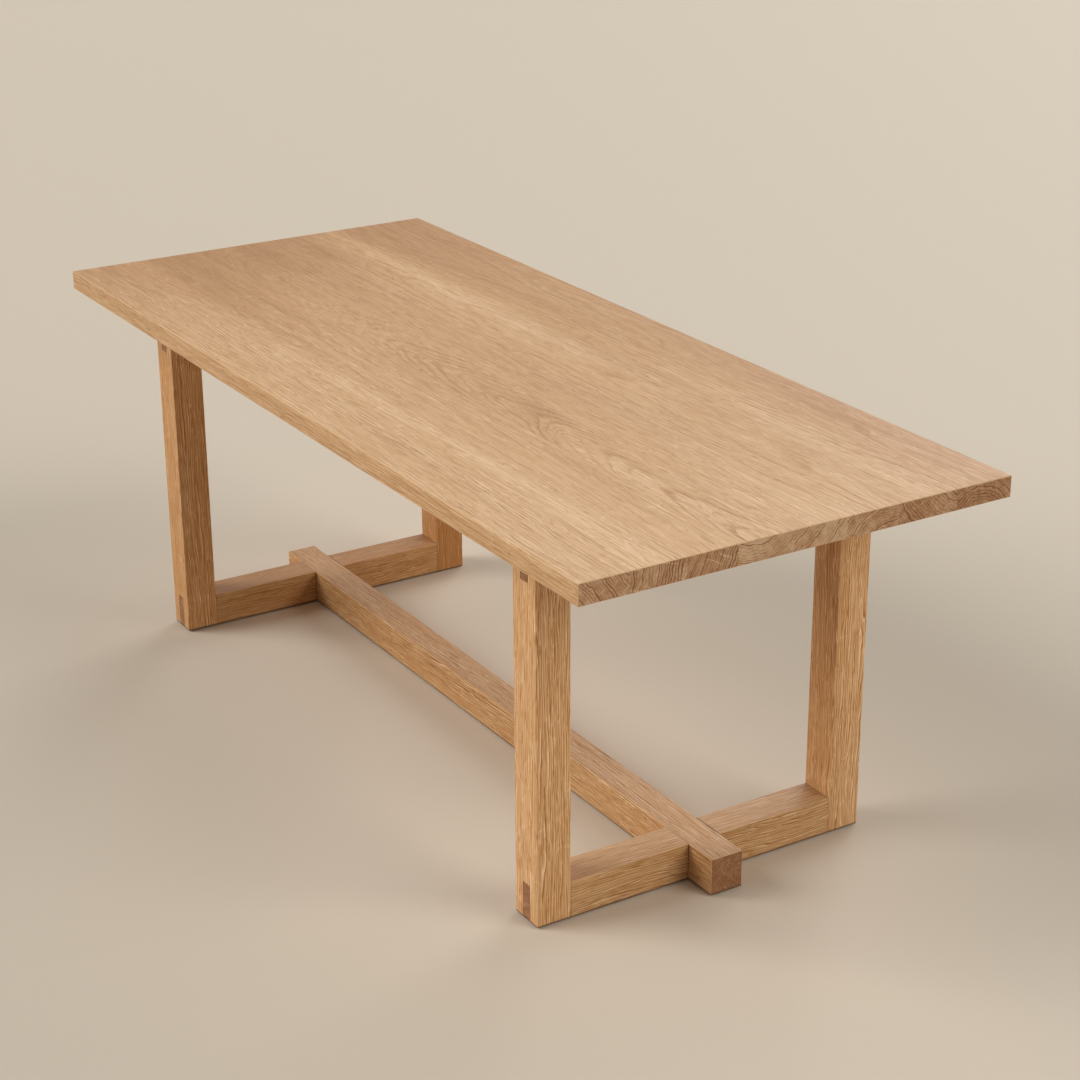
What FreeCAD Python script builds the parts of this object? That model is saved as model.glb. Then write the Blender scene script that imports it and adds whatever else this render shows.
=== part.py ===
import FreeCAD, Part
import os
from FreeCAD import Vector

# Solid oak trestle dining table, in millimetres.
# X runs along the length, Y across the width, Z up; the origin is on the floor,
# under the middle of the top.

# ---- the table as a whole ---------------------------------------------------
table_length = 2000.0
table_height = 740.0            # floor to the upper face of the top
top_thickness = 38.0
board_widths = (91.0, 103.0, 95.0, 107.0, 104.0, 105.0, 119.0, 116.0)  # from -Y to +Y
end_overhang = 250.0            # end of the top to the outer face of a trestle
side_overhang = 80.0            # long edge of the top to the outer face of a leg
top_edge_radius = 2.0

# ---- trestles and stretcher -------------------------------------------------
leg_depth = 70.0                # along X; the rails are as deep and finish flush
leg_width = 66.0                # along Y
foot_rail_height = 70.0
top_rail_height = 78.0
tenon_thickness = 24.0
glue_line = 0.1                 # each side of a tenon in its slot
stretcher_width = 65.0
stretcher_reach = 68.0          # how far an end stands out past its trestle
lap_clearance = 0.25            # each side of a cross-lap, which comes apart
edge_radius = 1.5               # eased arrises of the trestles and stretcher

# ---- felt pads under the legs -------------------------------------------------
pad_inset = 9.0                 # from the faces of the leg to the edge of its pad
pad_thickness = 2.5
pad_corner = 5.0                # clipped off each corner

# ---- fastenings: M8 socket screws, washers and flanged threaded inserts ------
bolt_diameter = 8.0
bolt_head_diameter = 13.0
bolt_head_height = 8.0
hex_key_size = 6.0              # across the flats of the socket
hex_socket_depth = 4.0
thread_fit = 0.05               # round a screw in its insert
thread_engagement = 20.0
washer_diameter = 20.0
washer_thickness = 2.0
washer_fit = 0.2                # round a screw in its washer
insert_length = 20.0
insert_diameter = 12.0
insert_flange_diameter = 17.0
insert_flange_thickness = 1.5
insert_fit = 0.05               # round an insert in its bore
bore_overrun = 3.0              # air past the end of a screw in a blind bore
bolt_hole_fit = 0.5             # round a screw where it passes through wood
counterbore_fit = 1.0           # round a washer in its counterbore
tiny = 0.001                    # how near counts as touching, when an edge is looked up

top_fixing_spacing = 205.0      # from the middle fixing of a trestle to the outer ones
season_travel = 6.0             # each way, for the top to swell and shrink
top_fixing_web = 38.0           # wood of the top rail above a counterbore
lap_bolt_web = 23.0             # wood of the foot rail above a counterbore

# ---- worked out from the sizes above ------------------------------------------
table_width = sum(board_widths)
top_underside = table_height - top_thickness
trestle_x = table_length / 2 - end_overhang - leg_depth / 2
trestle_width = table_width - 2 * side_overhang
trestle_opening = trestle_width - 2 * leg_width
leg_y = (trestle_width - leg_width) / 2
foot_rail_top = pad_thickness + foot_rail_height
top_rail_bottom = top_underside - top_rail_height
lap_height = pad_thickness + foot_rail_height / 2
stretcher_length = 2 * (trestle_x + leg_depth / 2 + stretcher_reach)
top_counterbore_floor = top_underside - top_fixing_web
lap_counterbore_floor = lap_height - lap_bolt_web

upright = Vector(0, 0, 1)
trestle_sides = (("left", -trestle_x), ("right", trestle_x))
leg_sides = (("front", -leg_y), ("back", leg_y))
top_fixings = ((-top_fixing_spacing, season_travel), (0.0, 0.0), (top_fixing_spacing, season_travel))


# ---- plain shapes -----------------------------------------------------------
def block(size_x, size_y, low_z, high_z, x=0.0, y=0.0):
    """A box centred on x, y, between two heights."""
    corner = Vector(x - size_x / 2, y - size_y / 2, low_z)
    return Part.makeBox(size_x, size_y, high_z - low_z, corner)


def eased_block(size_x, size_y, low_z, high_z, radius):
    """A box with its arrises rounded along each axis and mitred at the corners."""
    plain = block(size_x, size_y, low_z, high_z)
    eased = plain
    for axis in (Vector(1, 0, 0), Vector(0, 1, 0), upright):
        eased = eased.common(plain.makeFillet(radius, edges_along(plain, axis)))
    return eased


def slot(diameter, travel, low_z, high_z, x=0.0, y=0.0):
    """An upright round hole, or one that is stretched by travel each way along Y."""
    height = high_z - low_z
    ends = [Part.makeCylinder(diameter / 2, height, Vector(x, y + side * travel, low_z)) for side in (-1, 1)]
    if travel == 0:
        return ends[0]
    middle = block(diameter, 2 * travel, low_z, high_z, x, y)
    return middle.fuse(ends).removeSplitter()


def turned(profile):
    """The solid that a closed outline of radius and height points turns round Z."""
    points = [Vector(radius, 0, height) for radius, height in profile]
    outline = Part.makePolygon(points + points[:1])
    return Part.Face(outline).revolve(Vector(0, 0, 0), upright, 360)


def moved(shape, x=0.0, y=0.0, z=0.0):
    return shape.translated(Vector(x, y, z))


def edges_along(box, axis):
    """The edges of a box that run along an axis."""
    return [edge for edge in box.Edges if edge.tangentAt(0).cross(axis).Length < tiny]


def edges_between(shape, low, high):
    """The edges of a shape that lie wholly within the box between two corners, faces included."""
    region = FreeCAD.BoundBox(low, high)
    region.enlarge(tiny)
    return [edge for edge in shape.Edges if region.isInside(edge.BoundBox)]


def single(shape):
    """The one solid that a cut or a common leaves."""
    return shape.removeSplitter().Solids[0]


def write(node, shape):
    shape.exportStep("parts/" + node + ".step")


# ---- hardware: each stands on its seat at z = 0 and points up ----------------
def socket_bolt(length):
    """A socket-head screw whose head hangs below z = 0."""
    head = bolt_head_diameter / 2
    shank = bolt_diameter / 2
    outline = (
        (0, -bolt_head_height),
        (head, -bolt_head_height),
        (head, 0),
        (shank, 0),
        (shank, length),
        (0, length),
    )
    across_corners = hex_key_size / 3 ** 0.5 * 2
    corners = [Vector(across_corners / 2, 0, -bolt_head_height)]
    turn = FreeCAD.Rotation(upright, 60)
    for _ in range(6):
        corners.append(turn.multVec(corners[-1]))
    socket = Part.Face(Part.makePolygon(corners)).extrude(Vector(0, 0, hex_socket_depth))
    return turned(outline).cut(socket)


def washer():
    """A flat washer whose upper face is at z = 0."""
    ring = Part.makeCylinder(washer_diameter / 2, washer_thickness)
    hole = Part.makeCylinder(bolt_diameter / 2 + washer_fit, washer_thickness)
    return moved(ring.cut(hole), z=-washer_thickness)


def threaded_insert():
    """A flanged bush whose flange starts at z = 0."""
    bore = bolt_diameter / 2 + thread_fit
    body = insert_diameter / 2
    flange = insert_flange_diameter / 2
    return turned((
        (bore, 0),
        (flange, 0),
        (flange, insert_flange_thickness),
        (body, insert_flange_thickness),
        (body, insert_length),
        (bore, insert_length),
    ))


def insert_bore(x, y, z):
    """What a threaded insert, and the screw that runs through it, take out of the wood above z."""
    depth = thread_engagement + bore_overrun
    bore = slot(insert_diameter + 2 * insert_fit, 0, z, z + max(insert_length, depth), x, y)
    recess = slot(insert_flange_diameter + 2 * insert_fit, 0, z, z + insert_flange_thickness, x, y)
    return bore.fuse(recess)


def bolt_passage(x, y, low_z, floor_z, high_z, travel=0.0):
    """A counterbore from low_z up to its floor, and the screw's own hole above it."""
    counterbore = slot(washer_diameter + 2 * counterbore_fit, travel, low_z, floor_z, x, y)
    shank_hole = slot(bolt_diameter + 2 * bolt_hole_fit, travel, floor_z, high_z, x, y)
    return counterbore.fuse(shank_hole)


# ---- the top: boards glued edge to edge, then eased round the outside ----------
def top_boards():
    slab = eased_block(table_length, table_width, top_underside, table_height, top_edge_radius)
    bores = [insert_bore(x, y, top_underside) for _, x in trestle_sides for y, _ in top_fixings]
    boards = []
    edge = -table_width / 2
    for width in board_widths:
        strip = block(table_length, width, top_underside, table_height, y=edge + width / 2)
        boards.append(single(slab.common(strip).cut(bores)))
        edge += width
    return boards


# ---- a trestle: two legs bridled over a foot rail and a top rail ---------------
def eased_trestle():
    """The glued-up frame as one outline, with its arrises and both rims of its opening eased."""
    frame = eased_block(leg_depth, trestle_width, pad_thickness, top_underside, edge_radius)
    frame = frame.cut(block(leg_depth, trestle_opening, foot_rail_top, top_rail_bottom))
    side_y = trestle_opening / 2
    rims = []
    for x in (-leg_depth / 2, leg_depth / 2):
        rims += edges_between(frame, Vector(x, -side_y, foot_rail_top), Vector(x, side_y, top_rail_bottom))
    return frame.makeFillet(edge_radius, rims)


def leg(outline, y):
    """A post with an open slot at each end for the rails' tenons."""
    slot_width = tenon_thickness + 2 * glue_line
    post = outline.common(block(leg_depth, leg_width, pad_thickness, top_underside, y=y))
    foot_slot = block(slot_width, leg_width, pad_thickness, foot_rail_top, y=y)
    top_slot = block(slot_width, leg_width, top_rail_bottom, top_underside, y=y)
    return single(post.cut([foot_slot, top_slot]))


def rail(outline, low_z, high_z):
    """A rail shouldered between the legs, with a tenon through each of them."""
    body = block(leg_depth, trestle_opening, low_z, high_z)
    tenons = block(tenon_thickness, trestle_width, low_z, high_z)
    return single(outline.common(body.fuse(tenons)))


def foot_rail(outline):
    """The bottom rail, notched on top for the stretcher and bored from below for its screw."""
    bar = rail(outline, pad_thickness, foot_rail_top)
    notch = block(leg_depth, stretcher_width + 2 * lap_clearance, lap_height, foot_rail_top)
    passage = bolt_passage(0, 0, pad_thickness, lap_counterbore_floor, lap_height)
    return single(bar.cut([notch, passage]))


def top_rail(outline):
    """The rail under the top, with a round fixing hole between two that let the top move."""
    bar = rail(outline, top_rail_bottom, top_underside)
    passages = []
    for y, travel in top_fixings:
        passages.append(bolt_passage(0, y, top_rail_bottom, top_counterbore_floor, top_underside, travel))
    return single(bar.cut(passages))


# ---- the stretcher, notched from below so that its upper half runs through -------
def stretcher():
    bar = eased_block(stretcher_length, stretcher_width, pad_thickness, foot_rail_top, edge_radius)
    cuts = []
    for _, x in trestle_sides:
        cuts.append(block(leg_depth + 2 * lap_clearance, stretcher_width, pad_thickness, lap_height, x=x))
        cuts.append(insert_bore(x, 0, lap_height))
    return single(bar.cut(cuts))


# ---- pads and fastenings ------------------------------------------------------
def floor_pad():
    """A felt pad with clipped corners, the shape of the leg's foot but smaller."""
    pad = block(leg_depth - 2 * pad_inset, leg_width - 2 * pad_inset, 0, pad_thickness)
    return pad.makeChamfer(pad_corner, edges_along(pad, upright))


def fastening_set(name, places, counterbore_floor, seat_z):
    """The screws, washers and inserts of one kind of fixing, in a node for each."""
    length = washer_thickness + (seat_z - counterbore_floor) + thread_engagement
    head_z = counterbore_floor - washer_thickness
    bolts = [moved(socket_bolt(length), x, y, head_z) for x, y in places]
    washers = [moved(washer(), x, y, counterbore_floor) for x, y in places]
    inserts = [moved(threaded_insert(), x, y, seat_z) for x, y in places]
    write(name + "_bolts", Part.makeCompound(bolts))
    write(name + "_bolt_washers", Part.makeCompound(washers))
    write(name + "_inserts", Part.makeCompound(inserts))


# ---- the whole table ------------------------------------------------------------
os.makedirs("parts", exist_ok=True)

for number, board in enumerate(top_boards(), 1):
    write("top_board_" + str(number), board)

trestle = eased_trestle()
foot = foot_rail(trestle)
bearer = top_rail(trestle)
for side, x in trestle_sides:
    write("foot_rail_" + side, moved(foot, x))
    write("top_rail_" + side, moved(bearer, x))
    for end, y in leg_sides:
        write("leg_" + side + "_" + end, moved(leg(trestle, y), x))
        write("floor_pad_" + side + "_" + end, moved(floor_pad(), x, y))
write("stretcher", stretcher())

top_places = [(x, y) for _, x in trestle_sides for y, _ in top_fixings]
lap_places = [(x, 0) for _, x in trestle_sides]
fastening_set("top", top_places, top_counterbore_floor, top_underside)
fastening_set("stretcher", lap_places, lap_counterbore_floor, lap_height)
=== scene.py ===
import math

import bpy
from mathutils import Euler, Matrix, Vector


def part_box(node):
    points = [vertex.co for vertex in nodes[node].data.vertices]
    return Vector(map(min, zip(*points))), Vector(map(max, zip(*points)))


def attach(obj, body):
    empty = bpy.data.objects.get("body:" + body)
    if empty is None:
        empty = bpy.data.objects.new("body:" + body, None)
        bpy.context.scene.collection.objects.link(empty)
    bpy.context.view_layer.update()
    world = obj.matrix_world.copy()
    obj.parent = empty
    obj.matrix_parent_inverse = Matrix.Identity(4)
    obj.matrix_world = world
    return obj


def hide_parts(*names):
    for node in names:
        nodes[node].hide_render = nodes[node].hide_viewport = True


# Solid oak trestle dining table: the finish of every board, leg, rail and fastening.
# Metres; X along the top, Y across it, Z up from the floor.

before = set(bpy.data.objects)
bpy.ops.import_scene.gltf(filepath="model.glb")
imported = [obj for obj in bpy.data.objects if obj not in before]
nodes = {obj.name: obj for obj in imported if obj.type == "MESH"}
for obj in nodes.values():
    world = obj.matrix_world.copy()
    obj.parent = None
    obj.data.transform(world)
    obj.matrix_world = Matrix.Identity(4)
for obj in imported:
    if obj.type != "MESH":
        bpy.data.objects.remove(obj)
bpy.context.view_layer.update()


# ---- camera -----------------------------------------------------------------------
def stand_camera(place, heading, tilt, roll, lens):
    """A view from a tripod: heading turns it left from +Y, tilt lifts it, roll leans it; degrees."""
    camera = bpy.data.objects.new("camera", bpy.data.cameras.new("camera"))
    camera.data.sensor_width = 36.0
    camera.data.lens = lens
    turn = Matrix.Rotation(math.radians(heading), 4, "Z")
    lift = Matrix.Rotation(math.radians(90 + tilt), 4, "X")
    lean = Matrix.Rotation(math.radians(roll), 4, "Z")
    camera.matrix_world = Matrix.Translation(place) @ turn @ lift @ lean
    bpy.context.scene.collection.objects.link(camera)
    bpy.context.scene.camera = camera


stand_camera((3.653545, -2.116473, 2.090529), heading=58.412, tilt=-22.136, roll=-0.3065, lens=78.354)


# ---- shader arithmetic ------------------------------------------------------------
class Value:
    """A number that varies over a surface; Python's operators add their Math nodes."""

    def __init__(self, owner, socket):
        self.owner, self.socket = owner, socket

    def math(self, operation, *others):
        values = dict(enumerate((self, *others)))
        made = self.owner.node("ShaderNodeMath", {"operation": operation}, values)
        return Value(self.owner, made.outputs[0])

    def __add__(self, other):
        return self.math("ADD", other)

    __radd__ = __add__

    def __sub__(self, other):
        return self.math("SUBTRACT", other)

    def __rsub__(self, other):
        return self.math("MULTIPLY", -1.0) + other

    def __mul__(self, other):
        return self.math("MULTIPLY", other)

    __rmul__ = __mul__

    def __truediv__(self, other):
        return self.math("DIVIDE", other)

    def rise(self, low, high):
        """0 below low, 1 above high, with a soft step between."""
        settings = {"interpolation_type": "SMOOTHSTEP"}
        values = {"Value": self, "From Min": low, "From Max": high}
        made = self.owner.node("ShaderNodeMapRange", settings, values)
        return Value(self.owner, made.outputs[0])


class Tree:
    """A tree of nodes, each made in one line."""

    def node(self, kind, settings=None, values=None):
        """A node with its settings, then the values or links of its sockets, by name or number."""
        made = self.tree.nodes.new(kind)
        for name, setting in (settings or {}).items():
            if name == "stops":
                for stop, (place, shade) in zip(self.stops(made.color_ramp, len(setting)), setting):
                    stop.position = place
                    stop.color = shade if isinstance(shade, tuple) else (shade, shade, shade, 1.0)
            else:
                setattr(made, name, setting)
        for name, value in (values or {}).items():
            value = getattr(value, "socket", value)
            if isinstance(value, bpy.types.NodeSocket):
                self.tree.links.new(value, made.inputs[name])
            else:
                made.inputs[name].default_value = value
        return made

    @staticmethod
    def stops(ramp, count):
        """The stops of a ramp, as many as are wanted."""
        while len(ramp.elements) < count:
            ramp.elements.new(1.0)
        return ramp.elements


class Finish(Tree):
    """One material and its nodes."""

    def __init__(self, name):
        self.material = bpy.data.materials.new(name)
        self.material.use_nodes = True
        self.tree = self.material.node_tree
        self.tree.nodes.clear()

    def tone(self, value, stops):
        """A colour picked along a row of stops."""
        return self.node("ShaderNodeValToRGB", {"stops": stops}, {"Fac": value}).outputs["Color"]

    def ramp(self, value, stops):
        return Value(self, self.tone(value, stops))

    def noise(self, vector, detail=2.0, roughness=0.5):
        """Cloudy variation from 0 to 1 that averages a half."""
        values = {"Vector": vector, "Scale": 1.0, "Detail": detail, "Roughness": roughness}
        return self.node("ShaderNodeTexNoise", {}, values)

    def cloud(self, vector, detail=2.0, roughness=0.5):
        return Value(self, self.noise(vector, detail, roughness).outputs[0])

    def vector(self, operation, first, second):
        """Vector Math on two vectors, or on one and a scale."""
        values = {0: first, 3 if operation == "SCALE" else 1: second}
        return self.node("ShaderNodeVectorMath", {"operation": operation}, values).outputs[0]

    def length(self, vector):
        made = self.node("ShaderNodeVectorMath", {"operation": "LENGTH"}, {0: vector})
        return Value(self, made.outputs[1])

    def parts(self, vector):
        return [Value(self, out) for out in self.node("ShaderNodeSeparateXYZ", {}, {0: vector}).outputs]

    def mix(self, amount, first, second, blend="MIX"):
        """A colour between two, or one laid over the other; the node's colour sockets are 6, 7 and 2."""
        settings = {"data_type": "RGBA", "blend_type": blend, "clamp_factor": True}
        return self.node("ShaderNodeMix", settings, {0: amount, 6: first, 7: second}).outputs[2]

    def bump(self, height, depth, strength):
        values = {"Height": height, "Distance": depth, "Strength": strength}
        return self.node("ShaderNodeBump", {}, values).outputs[0]

    def surface(self, **sockets):
        """The finished surface; a socket's spaces are written as underscores."""
        values = {name.replace("_", " "): value for name, value in sockets.items()}
        shader = self.node("ShaderNodeBsdfPrincipled", {}, values)
        self.node("ShaderNodeOutputMaterial", {}, {"Surface": shader.outputs[0]})
        return self.material


def colour(red, green, blue):
    return (red, green, blue, 1.0)


# ---- the log ----------------------------------------------------------------------
# Every piece is cut from its own stretch of a log. The log's heart is a line; the growth
# rings are shells round it, so one pattern gives the arches on a flat-sawn face, the straight
# lines on a quarter-sawn one and the rings on an end.
GRAIN_TURN = {
    "X": Matrix.Identity(3),
    "Y": Matrix.Rotation(math.radians(-90), 3, "Z"),
    "Z": Matrix.Rotation(math.radians(90), 3, "Y"),
}
LOG_STRETCH = 7.3       # metres along the log from one piece to the next
HALF = (0.5, 0.5, 0.5)

# large and small crooks: repeats in a metre along and across the log, detail, roughness, swing
CROOKS = (
    ((1.25, 6.5, 6.5), 2.0, 0.45, 0.040),
    ((7.5, 24.0, 24.0), 3.0, 0.50, 0.007),
)

# from 0 to 1 on the way across them: how dark a year and a line are, and how pale a winding ray is
SPRING_BAND = [(0.0, 1.0), (0.16, 0.85), (0.34, 0.22), (0.55, 0.0), (0.88, 0.08), (1.0, 0.7)]
LINE_EDGE = [(0.0, 0.5), (0.20, 0.5), (0.42, 0.22), (0.60, 1.0), (0.82, 0.5)]
WINDING_RAY = [(0.42, 0.0), (0.50, 1.0), (0.58, 0.0)]

FOOT_REACH = (0.0043, 0.0072)   # heights between which the painted shade along the lowest edge fades out
CREVICE = 0.0012        # how far the painted shade reaches out of an inner corner


class Timber(Finish):
    """The wood of one piece: its place in the log, and the rings and fibres that run through it."""

    def __init__(self, name, grain, heart, lean, number, eyes):
        super().__init__(name)
        given = self.node("ShaderNodeTexCoord").outputs
        self.place = given["Object"]
        self.at = self.parts(self.place)
        self.facing = self.parts(given["Normal"])
        self.slope = [part.math("ABSOLUTE") for part in self.facing]
        self.is_end = self.slope["XYZ".index(grain)].rise(0.55, 0.9)
        self.path = self.crooked(self.lay_in_log(grain, heart, lean, number), eyes)
        self.along, self.side, self.height = self.parts(self.path)
        self.radius = self.length(self.vector("MULTIPLY", self.path, (0.0, 1.0, 1.0)))

    def lay_in_log(self, grain, heart, lean, number):
        """The place in the log of each point: along the grain, then across it from the heart."""
        tip = Euler((0.0, math.radians(lean[1]), math.radians(lean[0]))).to_matrix()
        turn = tip @ GRAIN_TURN[grain]
        shift = Vector((number * LOG_STRETCH, 0.0, 0.0)) - turn @ Vector(heart)
        values = {"Vector": self.place, "Location": shift, "Rotation": turn.to_euler()}
        return self.node("ShaderNodeMapping", {}, values).outputs[0]

    def crooked(self, log, eyes):
        """The same place once the log's crooks, and then its eyes, have bent rings and fibres alike."""
        path = log
        for repeats, detail, roughness, swing in CROOKS:
            drift = self.noise(self.vector("MULTIPLY", log, repeats), detail, roughness).outputs[1]
            push = self.vector("MULTIPLY", self.vector("SUBTRACT", drift, HALF), (0.0, swing, swing))
            path = self.vector("ADD", path, push)
        for centre, reach, push in eyes:
            path = self.vector("ADD", path, self.vector("SCALE", push, self.nearness(centre, reach)))
        return path

    def nearness(self, centre, reach):
        """1 at a place in the piece, fading all round it."""
        away = self.length(self.vector("DIVIDE", self.vector("SUBTRACT", self.place, centre), reach))
        return (away * away * -1.0).math("EXPONENT")

    def strands(self, length, width, detail=1.0, roughness=0.5):
        """Clouds drawn out along the grain."""
        drawn_out = self.vector("MULTIPLY", self.path, (1.0 / length, 1.0 / width, 1.0 / width))
        return self.cloud(drawn_out, detail, roughness)

    def lines(self, length, spread, bends, rate, strength):
        """Lines that drift along the grain and come and go, each pale on one side and dark on the other."""
        place = self.strands(length, spread, 0.5) * bends
        if rate:
            place = place + (self.side + self.height) * rate
        edge = self.ramp(place.math("FRACT"), LINE_EDGE) - 0.5
        return edge * self.strands(length * 0.7, spread * 0.7).rise(0.22, 0.48) * strength

    def years(self, ring):
        """The dark, porous spring band of each year, wavering on an end, and how strong the year is."""
        spell = self.cloud(self.node("ShaderNodeCombineXYZ", {}, {0: self.radius * 26.0}).outputs[0], 1.0)
        waver = self.strands(1 / 6, 1 / 85) * self.is_end
        years = self.radius / ring + spell * 3.0 + waver * 1.5
        year = self.node("ShaderNodeTexWhiteNoise", {"noise_dimensions": "1D"}, {"W": years.math("FLOOR")})
        strength = Value(self, year.outputs[0]) * 0.75 + 0.25
        return self.ramp(years.math("FRACT"), SPRING_BAND) * strength, strength

    def rays(self):
        """Rays that run straight out from the heart: flecks on a quarter-sawn face."""
        angle = self.height.math("ARCTAN2", self.side)
        values = {0: self.along * 34.0, 1: self.radius * 26.0, 2: angle * 110.0}
        return self.cloud(self.node("ShaderNodeCombineXYZ", {}, values).outputs[0], 1.0).rise(0.62, 0.70)

    def winding_rays(self):
        """Rays that wind across the fibres of a quarter-sawn face, in patches."""
        ray = self.ramp(self.strands(0.030, 0.013, 0.0), WINDING_RAY)
        return ray * self.strands(0.045, 0.030).rise(0.46, 0.60)

    def arris(self):
        """1 on the piece's eased edges, 0 on its faces."""
        flat = self.slope[0].math("MAXIMUM", self.slope[1]).math("MAXIMUM", self.slope[2])
        return (1.0 - flat).rise(0.03, 0.25)

    def crevice(self, axis, corner, top):
        """1 in an inner corner, where shade is painted, fading away from it, and up to its top."""
        away = (self.at["XYZ".index(axis)] - corner) / CREVICE
        below = 1.0 - self.at[2].rise(top - CREVICE, top)
        return (away * away * -1.0).math("EXPONENT") * below

    def lowest_edge(self):
        """1 just over the floor, where shade is painted, but 0 where the wood faces down."""
        return (1.0 - self.at[2].rise(*FOOT_REACH)) * (1.0 - (self.facing[2] * -1.0).rise(0.75, 0.95))


# ---- oiled oak --------------------------------------------------------------------
MIDDLE = 0.42           # how dark the middle tone is, from 0 to 1
END_MIDDLE = 0.24       # and an end, before its rings darken it


def pale_to_dark(middle, thirst):
    """The tones of wood that drinks more oil as it darkens: each channel fades at its own rate."""
    stops = []
    for amount in (0.0, 0.2, MIDDLE, 0.7, 1.0):
        faded = [part * math.exp((MIDDLE - amount) * rate) for part, rate in zip(middle, thirst)]
        stops.append((amount, colour(*faded)))
    return stops


TOP_TONES = pale_to_dark((0.551, 0.328, 0.161), (0.75, 1.09, 1.59))
LEG_TONES = pale_to_dark((0.595, 0.325, 0.133), (0.90, 1.45, 2.40))
RAIL_TONES = pale_to_dark((0.520, 0.293, 0.123), (0.90, 1.45, 2.30))
END_TONES = pale_to_dark((0.375, 0.198, 0.095), (1.00, 1.55, 2.10))
TOP_BLUSH = colour(0.580, 0.334, 0.150)
FRAME_BLUSH = colour(0.560, 0.280, 0.105)
# arrises paled by handling and by a painted highlight
ARRIS_WEAR_AND_HIGHLIGHT = colour(0.740, 0.480, 0.262)
# painted shade and sheen laid over the upper faces
UPPER_SHADE_AND_SHEEN = colour(0.84, 0.87, 0.98)
PAINTED_SHADE = colour(0.100, 0.056, 0.030)
CORNER_SHADE = 0.75             # how much of the wood the painted shade of an inner corner hides


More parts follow.
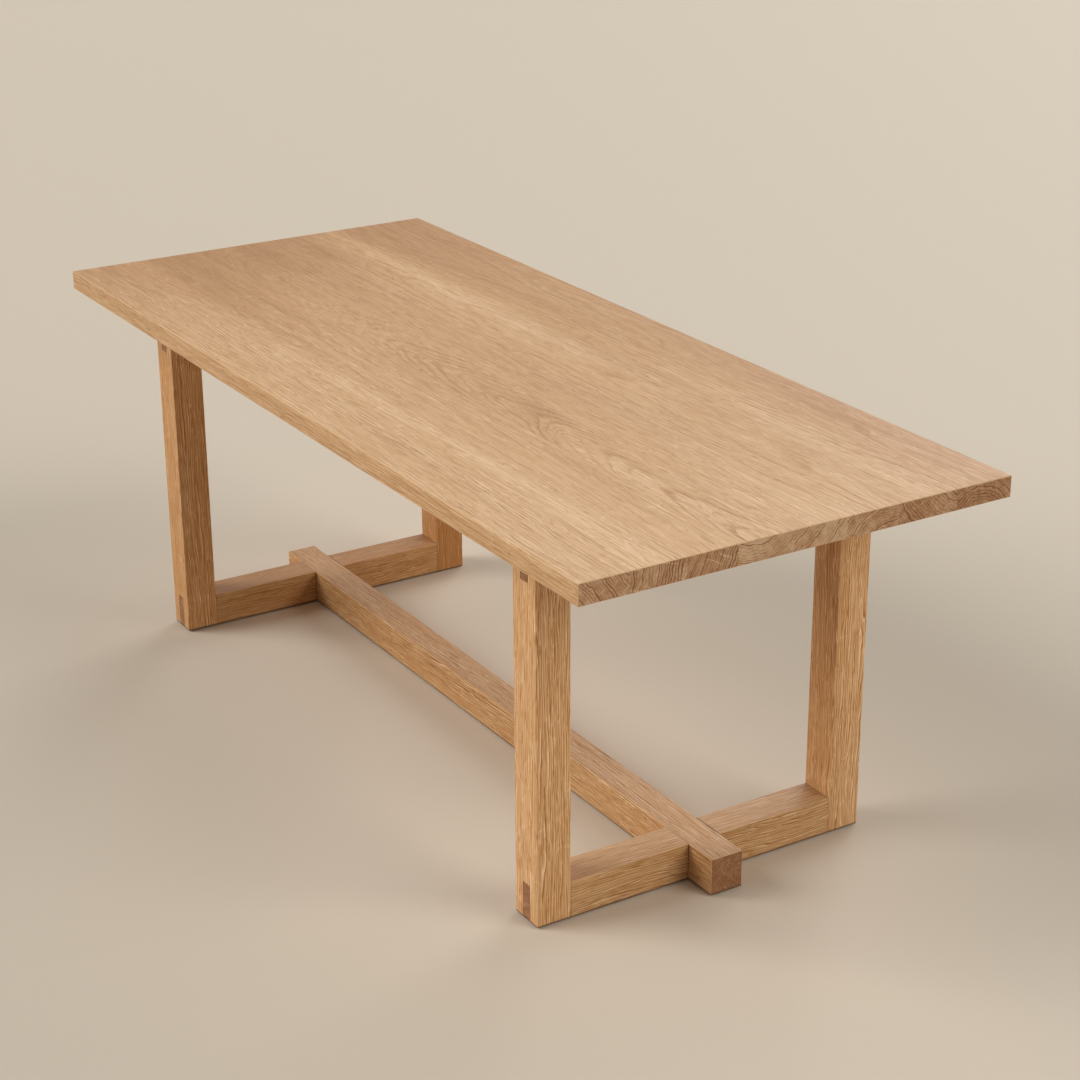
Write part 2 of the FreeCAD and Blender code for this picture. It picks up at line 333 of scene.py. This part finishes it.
def oak(name, grain, heart, lean, ring, number, shade=0.0, end_shade=0.0, tones=TOP_TONES, blush=TOP_BLUSH,
        figure=0.35, lively=1.08, sweep=(0.60, 0.030, 9.0, 0.0, 0.25), hair=(0.16, 0.012, 7.0, 0.0, 0.40),
        fuzz=0.24, pores=0.36, flecks=0.20, curls=0.0, cloudy=0.25, relief=0.25, arris_wear_and_highlight=0.45, upper_shade_and_sheen=0.0,
        foot=0.0, flame=None, eyes=(), stains_and_shade=(), crevices=()):
    """Oiled oak; a strength is 0 for none and about 1 for the most.

    heart: a point on the heart's line.
    lean: how far that line leans off the grain, sideways and up, in degrees.
    ring: the width of a year's growth.
    number: which stretch of the log the piece is cut from.
    shade, end_shade: a darker or, below 0, a paler cast of the faces and of the ends, of the wood itself or,
    on the left trestle's legs and foot rail, painted shade.
    tones, blush: the colours from pale to dark, and the warmer one that comes and goes in clouds.
    figure: the strength of the years.
    lively: that of all the fibres together.
    sweep, hair: the long and the short lines: length, spread, bends, rate across and strength.
    fuzz, pores, flecks: the strength of the finest fibres, of the dark dashes and of the pale ones.
    curls, cloudy: that of the winding rays and of the broad bands.
    relief: how deep the fibres feel.
    arris_wear_and_highlight: how pale the arrises are, from handling and from a painted highlight.
    upper_shade_and_sheen: how far painted shade and a painted sheen darken and grey the upper faces.
    foot: how dark the painted shade along the lowest edge is, just over the floor.
    flame: a stretch of X over which the years come up.
    eyes: where the grain parts round a knot: centre, reach and push.
    stains_and_shade: darker or, below 0, paler clouds, of the wood itself or painted shade and light:
    centre, reach and strength.
    crevices: inner corners darkened with painted shade: the axis across, the place on it and the top.
    """
    f = Timber(name, grain, heart, lean, number, eyes)
    spring, strength = f.years(ring)
    dash = f.strands(1 / 8, 1 / 170).rise(0.34, 0.60)

    # fibres, from broad to fine
    warmth = f.strands(1.100, 0.0530)
    band = f.strands(2.400, 0.0770)
    streak = f.strands(0.600, 0.0140)
    fibre = f.strands(0.110, 0.0031, 2.0, 0.6)
    pore = f.strands(0.040, 0.0022).rise(0.60, 0.70)
    fleck = f.strands(0.022, 0.0036).rise(0.66, 0.74)
    ray = f.rays()
    fine = (fibre.rise(0.30, 0.70) - 0.5) * fuzz + f.lines(*sweep) + f.lines(*hair)
    fine = fine + pore * (spring + 0.4) * pores - fleck * flecks
    if curls:
        fine = fine - f.winding_rays() * curls
    # the painted sheen calms the grain on the upper faces
    if upper_shade_and_sheen:
        up = f.facing[2].rise(0.60, 0.95) * upper_shade_and_sheen
        fine = fine * (1.0 - up * 0.3)

    # faces: the years, broken into dashes, under all the rest
    drawn = spring * (dash * 0.5 + 0.5) * figure
    if flame:
        drawn = drawn * f.at[0].rise(*flame)
    amount = drawn + fine * lively + (streak - 0.5) * 0.12 + (band - 0.5) * cloudy - ray * 0.10
    amount = amount + (MIDDLE + shade)
    # clouds of darker or paler wood, some of them painted shade and light
    for centre, reach, cast in stains_and_shade:
        amount = amount + f.nearness(centre, reach) * cast
    face = f.mix((warmth - 0.42) * 0.9, f.tone(amount, tones), blush)

    # ends drink more oil and show every ring
    amount = spring * strength * 1.30 + (fibre.rise(0.30, 0.70) - 0.5) * (lively * 0.15)
    amount = amount + (streak.rise(0.25, 0.75) - 0.5) * 0.24 + (band - 0.5) * 0.6 - ray * 0.35
    end = f.tone(amount + (END_MIDDLE + end_shade), END_TONES)
    wood = f.mix(f.is_end, face, end)

    # wear with a painted highlight on the arrises, then painted shade and sheen
    if upper_shade_and_sheen:
        wood = f.mix(up, wood, UPPER_SHADE_AND_SHEEN, "MULTIPLY")
    wood = f.mix(f.arris() * (fibre * 0.5 + (arris_wear_and_highlight - 0.25)), wood, ARRIS_WEAR_AND_HIGHLIGHT)
    # painted shade in the inner corners
    for axis, corner, top in crevices:
        wood = f.mix(f.crevice(axis, corner, top) * CORNER_SHADE, wood, PAINTED_SHADE)
    # painted shade along the lowest edge, just over the floor
    if foot:
        wood = f.mix(f.lowest_edge() * (fibre * 0.4 + 0.8) * foot, wood, PAINTED_SHADE)

    return f.surface(
        Base_Color=wood,
        Roughness=0.48 + spring * 0.10 + (fibre - 0.5) * 0.25 - ray * 0.06 + f.is_end * 0.12,
        Specular_IOR_Level=0.35,
        Normal=f.bump(fibre * 0.5 - pore * 0.6 - spring * dash * 0.3, 0.00035, relief),
    )


def dress(node, material):
    """Gives a node of the frame its finish."""
    slots = nodes[node].data.materials
    slots.clear()
    slots.append(material)


# ---- the boards of the top, stretches 1 to 8 of the log -----------------------------
TOP_FACE = 0.74         # the height of the upper face
TOP_END = 1.0           # the X of the end at which the boards' hearts are given
CLOUD_DEPTH = 0.008
CLOUD_EDGE = 2.2        # a cloud is gone this many reaches away from its middle

# each heart is the Y and Z at which it meets that end
TOP_BOARDS = (
    dict(heart=(-0.530, 0.620), lean=(0.5, -0.6), ring=0.0048, end_shade=-0.03, figure=0.30, lively=1.32,
         sweep=(0.60, 0.030, 9.0, 0.0, 0.12), hair=(0.13, 0.010, 2.4, 250.0, 0.66),
         fuzz=0.30, pores=0.60, cloudy=0.12),
    dict(heart=(-0.620, 0.800), lean=(-0.4, 0.7), ring=0.0052),
    dict(heart=(-0.500, 0.860), lean=(0.9, 0.5), ring=0.0054, end_shade=0.08),
    dict(heart=(-0.085, 0.800), lean=(0.5, -3.6), ring=0.0042, end_shade=-0.20, figure=0.50,
         flame=(-0.45, 0.10), eyes=(((0.45, -0.092, TOP_FACE), (0.045, 0.016, 0.05), (0.0, 0.0, 0.012)),)),
    dict(heart=(-0.100, 0.850), lean=(-0.5, 0.6), ring=0.0050, end_shade=-0.16, figure=0.26),
    dict(heart=(0.200, 0.600), lean=(-1.4, 0.8), ring=0.0050, end_shade=-0.06, figure=0.26),
    dict(heart=(0.340, 0.805), lean=(-1.6, 0.9), ring=0.0056, end_shade=0.06, figure=0.26),
    dict(heart=(0.350, 0.655), lean=(0.5, 1.1), ring=0.0052, end_shade=0.16, figure=0.26),
)
# Darker and, below 0, paler clouds that run on through the boards: the middle in X and Y, the
# reach in X and Y, and the strength. The narrow ones are the wood's own figure; the broadest,
# darker at the far end (-X) and along the back and paler at the near end and along the front,
# are painted shade and light.
TOP_CLOUDS = (
    (-1.12, 0.000, 0.55, 0.900, 0.33), (1.05, -0.200, 0.50, 0.260, -0.10),
    (0.00, -0.340, 3.00, 0.110, -0.18), (0.00, 0.400, 3.00, 0.110, 0.17), (-0.64, 0.186, 0.50, 0.036, -0.34),
    (0.00, 0.186, 0.28, 0.014, -0.10), (0.42, 0.260, 0.30, 0.024, -0.14), (0.82, 0.248, 0.26, 0.026, -0.13),
    (0.94, 0.090, 0.10, 0.080, -0.08), (-0.45, 0.108, 0.30, 0.022, -0.06), (-0.55, 0.282, 0.45, 0.026, 0.15),
    (-0.10, 0.292, 0.22, 0.016, 0.13), (0.15, 0.366, 0.22, 0.012, 0.10), (0.72, 0.375, 0.55, 0.050, 0.12),
    (-0.66, -0.205, 0.42, 0.056, 0.15), (-0.98, -0.030, 0.18, 0.060, 0.10),
    (-0.62, -0.300, 0.34, 0.024, -0.06), (0.02, -0.286, 0.22, 0.012, -0.12),
    (0.50, -0.272, 0.36, 0.013, -0.15), (0.95, -0.276, 0.20, 0.012, -0.08),
    (0.44, -0.356, 0.42, 0.024, 0.09), (0.18, 0.055, 0.26, 0.040, 0.07), (0.325, -0.054, 0.075, 0.016, 0.24),
    (0.375, -0.104, 0.055, 0.009, 0.16), (0.450, -0.122, 0.040, 0.010, 0.08),
    (0.540, -0.112, 0.070, 0.012, -0.13), (0.650, -0.096, 0.090, 0.013, -0.17),
    (0.770, -0.112, 0.080, 0.012, -0.13), (0.590, -0.070, 0.070, 0.006, 0.20),
    (0.700, -0.075, 0.080, 0.005, 0.12), (0.830, -0.104, 0.070, 0.005, 0.14),
    (0.640, -0.150, 0.090, 0.022, 0.06), (0.450, 0.128, 0.026, 0.005, 0.14),
    (0.200, -0.080, 0.120, 0.024, 0.06), (-0.98, -0.150, 0.32, 0.200, 0.22),
    (-0.90, 0.118, 0.22, 0.020, 0.12), (0.40, -0.255, 0.80, 0.030, -0.10),
    (0.10, -0.415, 1.10, 0.022, -0.06), (0.75, -0.030, 0.40, 0.120, -0.07), (0.62, 0.320, 0.42, 0.020, 0.07),
    (0.04, 0.238, 0.22, 0.018, 0.09),
)
for number, board in enumerate(TOP_BOARDS, 1):
    node = f"top_board_{number}"
    edges = [corner[1] for corner in nodes[node].bound_box]
    stains_and_shade = [((x, y, TOP_FACE), (long, wide, CLOUD_DEPTH), strength)
              for x, y, long, wide, strength in TOP_CLOUDS
              if min(edges) - CLOUD_EDGE * wide < y < max(edges) + CLOUD_EDGE * wide]
    board = dict(board, heart=(TOP_END, *board["heart"]), stains_and_shade=stains_and_shade)
    dress(node, oak("oak_" + node, "X", number=number, arris_wear_and_highlight=0.85, **board))


# ---- legs, rails and stretcher, stretches 11 to 14, 21 to 24 and 31 -----------------
FRAME_OAK = dict(blush=FRAME_BLUSH, lively=1.70, sweep=(0.26, 0.018, 8.0, 60.0, 0.14),
                 hair=(0.105, 0.010, 2.5, 240.0, 0.90), fuzz=0.16, pores=0.50, flecks=0.09, cloudy=0.22)
LEG_OAK = dict(FRAME_OAK, tones=LEG_TONES, curls=0.10, figure=0.18, relief=0.35, foot=0.8)
RAIL_OAK = dict(FRAME_OAK, tones=RAIL_TONES, curls=0.06, figure=0.16, relief=0.30, arris_wear_and_highlight=0.70, upper_shade_and_sheen=1.0)
STRETCHER_OAK = dict(RAIL_OAK, lively=2.50)
# The higher shade of the left trestle's legs and foot rail, and the clouds on the left back leg's +X face
# and the right back leg's -Y face, are painted shade.
LEGS = {
    "leg_left_front": dict(heart=(-0.850, -0.500, 0.3), lean=(0.8, 0.3), ring=0.0034, shade=0.10),
    "leg_left_back": dict(heart=(-0.600, 0.460, 0.3), lean=(-0.5, 0.6), ring=0.0036, shade=0.26,
                          stains_and_shade=(((-0.680, 0.307, 0.36), (0.006, 0.20, 0.60), 0.30),)),
    "leg_right_front": dict(heart=(0.600, -0.500, 0.3), lean=(0.5, -0.4), ring=0.0033, shade=-0.11),
    "leg_right_back": dict(heart=(0.810, 0.110, 0.3), lean=(-0.6, 0.5), ring=0.0034, shade=-0.10,
                           stains_and_shade=(((0.715, 0.274, 0.36), (0.20, 0.012, 0.60), 0.17),)),
}
RAILS = {
    "foot_rail_left": dict(heart=(-0.640, 0.0, 0.180), lean=(0.6, 0.6), ring=0.0036, shade=0.20, foot=0.8),
    "foot_rail_right": dict(heart=(0.640, 0.0, 0.190), lean=(0.7, -0.6), ring=0.0034, shade=-0.06, foot=0.8),
    "top_rail_left": dict(heart=(-0.780, 0.0, 0.560), lean=(0.4, 0.4), ring=0.0038),
    "top_rail_right": dict(heart=(0.650, 0.0, 0.560), lean=(0.5, 0.6), ring=0.0038),
}
for number, (node, cut) in enumerate(LEGS.items(), 11):
    dress(node, oak("oak_" + node, "Z", number=number, **LEG_OAK, **cut))

# painted shade darkens the inner corners where each rail meets its legs, and where the stretcher crosses the
# foot rails
ANY_HEIGHT = 1.0
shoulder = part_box("leg_right_back")[0].y
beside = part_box("stretcher")[1]
lap_top = beside.z + 0.01       # over the foot rails, and well under the top rails
arris_foot = beside.z - 0.0015  # where the stretcher's eased upper edges begin
corners = ((shoulder, ANY_HEIGHT), (beside.y, lap_top))
crevices = [("Y", side * y, top) for side in (-1, 1) for y, top in corners]
for number, (node, cut) in enumerate(RAILS.items(), 21):
    dress(node, oak("oak_" + node, "Y", number=number, end_shade=0.45, crevices=crevices, **RAIL_OAK, **cut))
sides = [corner.x for side in ("left", "right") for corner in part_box("foot_rail_" + side)]
crevices = [("X", x, arris_foot) for x in sides]
dress("stretcher", oak("oak_stretcher", "X", heart=(0.82, 0.100, -0.090), lean=(0.4, 0.3), ring=0.0034,
                       number=31, shade=-0.03, end_shade=0.53, foot=0.8, crevices=crevices,
                       stains_and_shade=(((0.0, -0.0325, 0.0375), (3.0, 0.012, 0.5), 0.13),), **STRETCHER_OAK))


# ---- felt and metal -----------------------------------------------------------------
def felt():
    """Pressed wool felt: short tangled fibres."""
    f = Finish("felt")
    place = f.node("ShaderNodeTexCoord").outputs["Object"]
    tangle = f.cloud(f.vector("MULTIPLY", place, (900.0, 900.0, 1400.0)), 3.0, 0.6)
    shade = f.mix(tangle, colour(0.020, 0.018, 0.016), colour(0.085, 0.078, 0.070))
    return f.surface(Base_Color=shade, Roughness=0.95, Sheen_Weight=0.4, Normal=f.bump(tangle, 0.0006, 0.8))


def metal(name, bright, dull, roughness, grains):
    """Metal with a fine even grain, so many to the metre, and a few duller patches."""
    f = Finish(name)
    place = f.node("ShaderNodeTexCoord").outputs["Object"]
    grain = f.cloud(f.vector("MULTIPLY", place, (grains, grains, grains)))
    patch = f.cloud(f.vector("MULTIPLY", place, (160.0, 160.0, 160.0)))
    return f.surface(
        Base_Color=f.mix(patch, bright, dull),
        Metallic=1.0,
        Roughness=roughness + (grain - 0.5) * 0.2 + (patch - 0.5) * 0.2,
        Normal=f.bump(grain, 0.00006, 0.4),
    )


pad_felt = felt()
for side in ("left", "right"):
    for end in ("front", "back"):
        dress(f"floor_pad_{side}_{end}", pad_felt)
black_steel = metal("black_oxide_steel", colour(0.045, 0.045, 0.048), colour(0.020, 0.019, 0.018),
                    roughness=0.38, grains=2600.0)
zinc_plate = metal("zinc_plate", colour(0.60, 0.61, 0.62), colour(0.48, 0.49, 0.49),
                   roughness=0.30, grains=3200.0)
turned_brass = metal("turned_brass", colour(0.72, 0.53, 0.24), colour(0.56, 0.38, 0.16),
                     roughness=0.26, grains=2400.0)


# ---- screws, washers and threaded inserts ---------------------------------------------
FACETS = 72             # points round a turned piece
SHARP = 32              # degrees past which an edge of it isn't smoothed
THREAD_STEPS = 4        # rings of points in one turn of a thread, and in its run-out
KEY_HALF = 0.0030       # half the width of the hexagon key
KNURL_DEPTH = 0.00016
HEAD_WIDTH = 0.0130
HEAD_HEIGHT = 0.0080


def plain(radius, height, step):
    """Round, with nothing cut in it."""
    return radius


def hexagon(radius, height, step):
    """The flats of a key socket; the radius is half the width across them."""
    return radius / math.cos(math.radians(step * 360 / FACETS % 60 - 30))


def knurl(radius, height, step):
    """Every other point lies a little deeper."""
    return radius - KNURL_DEPTH * (step % 2)


def thread(pitch, depth):
    """A helical groove."""
    def cut(radius, height, step):
        turn = (height / pitch - step / FACETS) % 1.0
        return radius - depth * abs(2 * turn - 1)
    return cut


def turned(name, outline, ring=False):
    """An outline of radius, height and cut turned round Z; a ring's outline closes on itself."""
    points, rows = [], []
    for radius, height, cut in outline:
        first = len(points)
        if radius == 0:
            rows.append([first] * FACETS)
            points.append((0.0, 0.0, height))
            continue
        rows.append(range(first, first + FACETS))
        for step in range(FACETS):
            angle = 2 * math.pi * step / FACETS
            reach = cut(radius, height, step)
            points.append((reach * math.cos(angle), reach * math.sin(angle), height))
    faces = []
    for low, high in zip(rows, rows[1:] + rows[:ring]):
        for step in range(FACETS):
            turn = (step + 1) % FACETS
            faces.append(list(dict.fromkeys((low[step], low[turn], high[turn], high[step]))))
    mesh = bpy.data.meshes.new(name)
    mesh.from_pydata(points, [], faces)
    mesh.shade_smooth()
    mesh.set_sharp_from_angle(angle=math.radians(SHARP))
    return mesh


def smooth(*points):
    """A stretch of an outline with nothing cut in it."""
    return [(radius, height, plain) for radius, height in points]


def threaded(radius, low, high, pitch, depth):
    """A threaded stretch of an outline, run out at both ends."""
    count = round((high - low) / pitch * THREAD_STEPS)
    stretch = []
    for step in range(count + 1):
        height = low + (high - low) * step / count
        run_out = min(1.0, step / THREAD_STEPS, (count - step) / THREAD_STEPS)
        stretch.append((radius, height, thread(pitch, depth * run_out)))
    return stretch


def socket_screw(length):
    """An M8 screw with a knurled head that hangs below its seat, open to a hexagon key from below."""
    key = [(0.0, -0.0033, plain), (KEY_HALF, -0.0040, hexagon), (KEY_HALF, -0.0077, hexagon)]
    face = smooth((0.0037, -0.0080), (0.0056, -0.0080), (0.0061, -0.0078), (0.0064, -0.0073))
    grip = [(0.0065, -0.0071, knurl), (0.0065, -0.0012, knurl)]
    neck = smooth((0.0063, -0.0009), (0.0063, -0.0002), (0.0061, 0.0), (0.0042, 0.0), (0.00404, 0.0001),
                  (0.0040, 0.0003))
    shank = threaded(0.0040, low=length - 0.0240, high=length - 0.0010, pitch=0.00125, depth=0.00061)
    tip = smooth((0.0034, length - 0.0003), (0.0030, length), (0.0, length))
    return turned("screw", key + face + grip + neck + shank + tip)


def flat_washer():
    """A stamped washer under its seat, rounded on the side the punch came from."""
    outline = smooth((0.0044, -0.0020), (0.0096, -0.0020), (0.0099, -0.00185), (0.0100, -0.0016),
                     (0.0100, -0.0001), (0.0099, 0.0), (0.0043, 0.0), (0.0042, -0.0001), (0.0042, -0.0018))
    return turned("washer", outline, ring=True)


def flanged_insert():
    """A bush with a flange and a coarse outer thread that bites the wood."""
    flange = smooth((0.0043, 0.0), (0.0083, 0.0), (0.0085, 0.0002), (0.0085, 0.0013), (0.0083, 0.0015),
                    (0.0058, 0.0015), (0.0054, 0.0018), (0.0058, 0.0026))
    body = threaded(0.0060, low=0.0030, high=0.0190, pitch=0.0025, depth=0.0009)
    bore = smooth((0.0048, 0.0198), (0.0046, 0.0200), (0.0043, 0.0200), (0.00405, 0.0197), (0.00405, 0.0003))
    return turned("insert", flange + body + bore, ring=True)


class Fixings(Tree):
    """Geometry Nodes that stand the piece at every place of a grid, each turned by its own amount."""
    SIZES = (("Length Apart", "Float"), ("Width Apart", "Float"), ("Across", "Int"),
             ("Seat Height", "Float"), ("Seed", "Int"), ("Finish", "Material"))

    def __init__(self):
        self.tree = bpy.data.node_groups.new("fixings", "GeometryNodeTree")
        face = self.tree.interface
        face.new_socket("Piece", in_out="INPUT", socket_type="NodeSocketGeometry")
        for name, kind in self.SIZES:
            face.new_socket(name, in_out="INPUT", socket_type="NodeSocket" + kind)
        face.new_socket("Pieces", in_out="OUTPUT", socket_type="NodeSocketGeometry")

        given = self.node("NodeGroupInput").outputs
        spacing = {"Size X": given["Length Apart"], "Size Y": given["Width Apart"],
                   "Vertices X": 2, "Vertices Y": given["Across"]}
        places = self.node("GeometryNodeMeshGrid", {}, spacing)
        lift = self.node("ShaderNodeCombineXYZ", {}, {"Z": given["Seat Height"]})
        lifted = {"Geometry": places.outputs["Mesh"], "Translation": lift.outputs[0]}
        seats = self.node("GeometryNodeTransform", {}, lifted)
        any_angle = {2: 0.0, 3: math.tau, "Seed": given["Seed"]}
        turn = self.node("FunctionNodeRandomValue", {"data_type": "FLOAT"}, any_angle)
        spin = self.node("ShaderNodeCombineXYZ", {}, {"Z": turn.outputs[1]})
        standing = {"Points": seats.outputs[0], "Instance": given["Piece"], "Rotation": spin.outputs[0]}
        stood = self.node("GeometryNodeInstanceOnPoints", {}, standing)
        real = self.node("GeometryNodeRealizeInstances", {}, {"Geometry": stood.outputs[0]})
        finished = {"Geometry": real.outputs[0], "Material": given["Finish"]}
        made = self.node("GeometryNodeSetMaterial", {}, finished)
        self.node("NodeGroupOutput", {}, {"Pieces": made.outputs[0]})

    def stand(self, node, mesh, slot, sizes):
        """The finished piece, in place of the frame's own."""
        piece = bpy.data.objects.new(node + "_finished", mesh)
        bpy.context.scene.collection.objects.link(piece)
        modifier = piece.modifiers.new("fixings", "NODES")
        modifier.node_group = self.tree
        sockets = {item.name: item.identifier for item in self.tree.interface.items_tree}
        for name, size in sizes.items():
            modifier[sockets[name]] = size
        bpy.context.view_layer.update()
        finished = piece.evaluated_get(bpy.context.evaluated_depsgraph_get())
        final = bpy.data.meshes.new_from_object(finished)
        final.name = piece.name
        piece.modifiers.clear()
        piece.data = final
        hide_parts(node)
        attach(piece, "root")


# one row at each trestle, with so many across
fixings = Fixings()
for kind, across in (("top", 3), ("stretcher", 1)):
    low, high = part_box(kind + "_bolts")
    grid = {"Length Apart": high.x - low.x - HEAD_WIDTH, "Width Apart": high.y - low.y - HEAD_WIDTH,
            "Across": across}
    screw = socket_screw(high.z - low.z - HEAD_HEIGHT)
    washer_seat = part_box(kind + "_bolt_washers")[1].z
    insert_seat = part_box(kind + "_inserts")[0].z
    for part, mesh, seat, finish, slot, seed in (
        ("_bolts", screw, low.z + HEAD_HEIGHT, black_steel, "black_steel", 10),
        ("_bolt_washers", flat_washer(), washer_seat, zinc_plate, "zinc_steel", 17),
        ("_inserts", flanged_insert(), insert_seat, turned_brass, "brass_insert", 12),
    ):
        sizes = {**grid, "Seat Height": seat, "Seed": seed, "Finish": finish}
        fixings.stand(kind + part, mesh, slot, sizes)


# ---- floor and light ----------------------------------------------------------------
PATCH = 38.0            # degrees of sky that each patch of light fills
FLOOR_REACH = 40        # from the middle of the floor to its sides


def plain_floor():
    """A wide, plain pale floor."""
    mesh = bpy.data.meshes.new("floor")
    corners = [(FLOOR_REACH * x, FLOOR_REACH * y, 0) for x, y in ((-1, -1), (1, -1), (1, 1), (-1, 1))]
    mesh.from_pydata(corners, [], [(0, 1, 2, 3)])
    floor = bpy.data.objects.new("floor", mesh)
    bpy.context.scene.collection.objects.link(floor)
    f = Finish("pale_floor")
    mesh.materials.append(f.surface(Base_Color=colour(0.60, 0.525, 0.43), Roughness=0.75))


def soft_sun(name, azimuth, elevation, strength, tint=(1.0, 0.985, 0.96)):
    """Even light from a broad patch of sky; azimuth 0 comes from -Y and 90 from +X, in degrees."""
    turn, lift = math.radians(azimuth), math.radians(elevation)
    back = Vector((math.sin(turn) * math.cos(lift), -math.cos(turn) * math.cos(lift), math.sin(lift)))
    light = bpy.data.lights.new(name, "SUN")
    light.angle = math.radians(PATCH)
    light.energy = math.pi * strength
    light.color = tint
    lamp = bpy.data.objects.new(name, light)
    lamp.location = back * 4.0
    lamp.rotation_euler = (-back).to_track_quat("-Z", "Y").to_euler()
    bpy.context.scene.collection.objects.link(lamp)


def soft_sky(tint, strength, seen):
    """Dim light from all round; straight on or in a shiny surface it shows as a paler room."""
    sky = Tree()
    world = bpy.data.worlds.new("room_light")
    world.use_nodes = True
    sky.tree = world.node_tree
    sky.tree.nodes.clear()
    path = sky.node("ShaderNodeLightPath").outputs
    eye, gloss, glass = [Value(sky, path[f"Is {ray} Ray"]) for ray in ("Camera", "Glossy", "Transmission")]
    level = eye.math("MAXIMUM", gloss).math("MAXIMUM", glass) * (seen - strength) + strength
    background = sky.node("ShaderNodeBackground", {}, {"Color": tint, "Strength": level})
    sky.node("ShaderNodeOutputWorld", {}, {"Surface": background.outputs[0]})
    bpy.context.scene.world = world


plain_floor()
soft_sky(colour(1.0, 0.98, 0.95), strength=0.22, seen=0.75)
soft_sun("window", azimuth=330, elevation=32, strength=0.74)
soft_sun("near_end", azimuth=120, elevation=32, strength=0.45, tint=(1.0, 0.97, 0.91))
soft_sun("far_side", azimuth=210, elevation=20, strength=0.40)
bpy.context.scene.view_settings.view_transform = "Standard"
